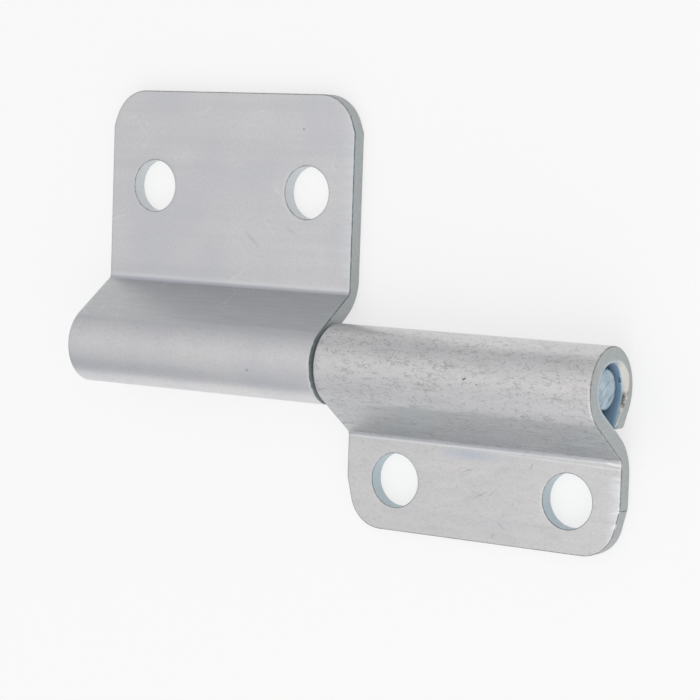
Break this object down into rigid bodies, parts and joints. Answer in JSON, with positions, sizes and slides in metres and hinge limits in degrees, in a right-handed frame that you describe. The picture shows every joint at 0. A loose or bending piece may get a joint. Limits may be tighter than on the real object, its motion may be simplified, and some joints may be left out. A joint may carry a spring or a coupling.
{
  "type": "slip hinge",
  "caption": "Lift-off hinge of offset, curled steel leaves, one wide and one narrow, side by side on a plain fixed pin; the narrow leaf swings and slides off.",
  "frame": {"origin": "on the back of the fixed leaf's plate, midway between its two screw holes", "axes": "+X runs along the pin from its held end to its free end, the way the slip leaf slides off; +Y runs across the fixed leaf, away from the pin; +Z runs out of the leaves' fronts. The hinge lies open and flat on the backs of its leaves."},
  "size_m": [0.0765, 0.0528, 0.0103],
  "materials": {
    "zinc_plated_sheet": "bright, slightly bluish zinc plating on pressed steel sheet, satin, with fine handling scratches",
    "zinc_plated_pin": "blue-passivated zinc plating on drawn steel wire, satin"
  },
  "bodies": {
    "fixed_leaf": {"fixed_leaf": "zinc_plated_sheet"},
    "hinge_pin": {"hinge_pin": "zinc_plated_pin"},
    "slip_leaf": {"slip_leaf": "zinc_plated_sheet"}
  },
  "joints": [
    {"name": "leaf_swing", "type": "hinge", "parent": "fixed_leaf", "child": "hinge_pin", "pos_m": [0.01925, -0.0206, 0.0052], "axis": [-1, 0, 0], "continuous": true},
    {"name": "lift_off", "type": "slide", "parent": "hinge_pin", "child": "slip_leaf", "axis": [1, 0, 0], "range_m": [0, 0.04]}
  ]
}
